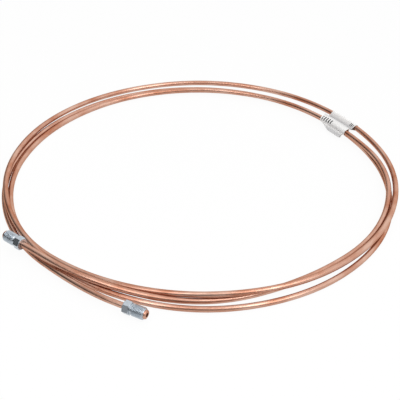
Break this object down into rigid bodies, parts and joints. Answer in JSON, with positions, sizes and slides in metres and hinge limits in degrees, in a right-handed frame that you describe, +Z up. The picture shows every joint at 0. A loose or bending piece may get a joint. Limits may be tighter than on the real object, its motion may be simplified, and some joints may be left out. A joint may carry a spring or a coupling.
{
  "type": "copper tube coil",
  "caption": "Loose flat coil of thin copper brake tube, with a flare and a swivelling plated steel male nut at each end and paper labels wrapped round the tube.",
  "frame": {"origin": "centre of the whole part's box, on the floor that the coil lies on", "axes": "+Z up, out of the flat coil; -Y towards the side where both tube ends leave the turns; +X to the right"},
  "size_m": [0.3451, 0.3642, 0.0181],
  "materials": {
    "copper": "drawn, slightly dulled",
    "zinc_steel": "zinc plated",
    "paper": "matt"
  },
  "bodies": {
    "coil": {"tube": "copper", "label_inner": "paper", "label_outer": "paper"},
    "nut_a": {"nut_a": "zinc_steel"},
    "nut_b": {"nut_b": "zinc_steel"}
  },
  "joints": [
    {"name": "nut_a_swivel", "type": "hinge", "parent": "coil", "child": "nut_a", "pos_m": [-0.14853, -0.09749, 0.01308], "axis": [-0.801, 0.5954, 0.0624], "continuous": true},
    {"name": "nut_b_swivel", "type": "hinge", "parent": "coil", "child": "nut_b", "pos_m": [-0.04444, -0.17564, 0.00632], "axis": [0.8762, -0.4819, -0.0065], "continuous": true}
  ]
}
